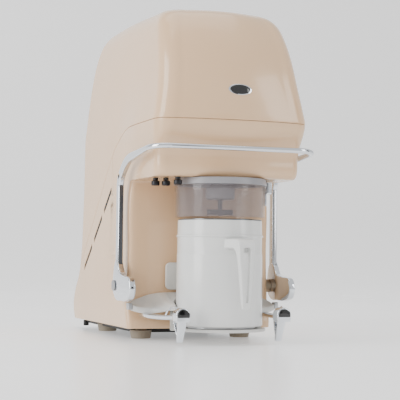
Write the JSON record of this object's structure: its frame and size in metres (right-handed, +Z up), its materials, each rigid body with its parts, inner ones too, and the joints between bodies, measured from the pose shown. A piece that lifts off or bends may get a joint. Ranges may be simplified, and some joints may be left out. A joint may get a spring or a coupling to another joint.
{
  "type": "ice cream maker",
  "caption": "Tall countertop ice cream maker with an overhanging head, a lift-out mug on a rising cradle and a chrome bail that raises it to the drive.",
  "frame": {"origin": "centre of the machine's footprint, mug handle included, on the surface it stands on", "axes": "+Z up, -Y towards the person using it (the mug's side), +X to the right as seen from the front"},
  "size_m": [0.2828, 0.57, 0.5304],
  "materials": {
    "cream_enamel": "gloss",
    "chrome": "polished",
    "steel": "brushed",
    "dark_metal": "satin",
    "pale_casting": "satin",
    "white_plastic": "gloss",
    "black_plastic": "matte",
    "grey_plastic": "matte",
    "clear_plastic": "gloss",
    "taupe_rubber": "matte",
    "black_rubber": "matte",
    "copper": "satin",
    "bronze": "satin",
    "circuit_board": "satin",
    "motor_body": "satin",
    "compressor_shell": "satin",
    "condenser_fins": "satin"
  },
  "bodies": {
    "root": {"top_cover": "cream_enamel", "front_casing": "cream_enamel", "left_side_panel": "cream_enamel", "right_side_panel": "cream_enamel", "rear_panel": "grey_plastic", "base_plate": "black_plastic", "foot_front_left": "taupe_rubber", "foot_front_right": "taupe_rubber", "foot_rear_left": "taupe_rubber", "foot_rear_right": "taupe_rubber", "main_frame": "steel", "gearbox_housing": "pale_casting", "gearbox_cover": "pale_casting", "spindle_bearing": "steel", "shaft_seal": "black_rubber", "drive_motor": "motor_body", "control_board": "circuit_board", "clear_guard": "clear_plastic", "guard_ring": "grey_plastic", "guard_latch": "chrome", "guard_screw_1": "dark_metal", "guard_screw_2": "dark_metal", "guard_screw_3": "dark_metal", "compressor": "compressor_shell", "condenser": "condenser_fins", "fan_shroud": "steel", "fan_motor": "black_plastic", "liquid_pipe": "copper", "suction_pipe": "copper", "power_inlet": "black_plastic", "pivot_bush_left": "bronze", "pivot_bush_right": "bronze", "guide_rod_left": "steel", "guide_rod_right": "steel"},
    "drive": {"drive_gear": "white_plastic", "drive_spindle": "dark_metal", "drive_boss": "grey_plastic"},
    "motor": {"motor_pinion": "steel"},
    "fan": {"fan_blades": "black_plastic"},
    "rocker": {"power_rocker": "black_plastic"},
    "bail": {"bail_tube": "chrome", "bail_arm_left": "chrome", "bail_arm_right": "chrome", "pivot_screw_left": "steel", "pivot_screw_right": "steel", "lift_shaft": "steel", "lift_crank_left": "steel", "lift_crank_right": "steel"},
    "tray": {"tray": "pale_casting", "cold_plate": "steel", "hook_left": "chrome", "hook_right": "chrome", "hook_cap_left": "black_plastic", "hook_cap_right": "black_plastic", "tray_pin_left": "steel", "tray_pin_right": "steel", "lift_yoke": "pale_casting"},
    "mug": {"mug_jacket": "white_plastic", "mug_liner": "steel"},
    "dasher": {"dasher_frame": "white_plastic"}
  },
  "joints": [
    {"name": "bail_swing", "type": "hinge", "parent": "root", "child": "bail", "pos_m": [0, -0.064, 0.086], "axis": [1, 0, 0], "range_deg": [0, 45]},
    {"name": "tray_lift", "type": "slide", "parent": "root", "child": "tray", "axis": [0, 0, 1], "range_m": [0, 0.0261]},
    {"name": "mug_slide_out", "type": "slide", "parent": "tray", "child": "mug", "axis": [0, -1, 0], "range_m": [0, 0.27]},
    {"name": "dasher_spin", "type": "hinge", "parent": "mug", "child": "dasher", "pos_m": [0, -0.17, 0.027], "axis": [0, 0, 1], "continuous": true},
    {"name": "drive_spin", "type": "hinge", "parent": "root", "child": "drive", "pos_m": [0, -0.17, 0.286], "axis": [0, 0, 1], "continuous": true},
    {"name": "motor_spin", "type": "hinge", "parent": "root", "child": "motor", "pos_m": [0, -0.1178, 0.286], "axis": [0, 0, 1], "continuous": true},
    {"name": "fan_spin", "type": "hinge", "parent": "root", "child": "fan", "pos_m": [0, 0.136, 0.245], "axis": [0, 1, 0], "continuous": true},
    {"name": "power_rock", "type": "hinge", "parent": "root", "child": "rocker", "pos_m": [0.001, 0.224, 0.163], "axis": [1, 0, 0], "range_deg": [0, 12]}
  ],
  "couplings": [
    {"joint": "tray_lift", "follows": "bail_swing", "m_per_rad": 0.033132},
    {"joint": "dasher_spin", "follows": "drive_spin", "ratio": 1},
    {"joint": "motor_spin", "follows": "drive_spin", "ratio": -3.1429}
  ]
}
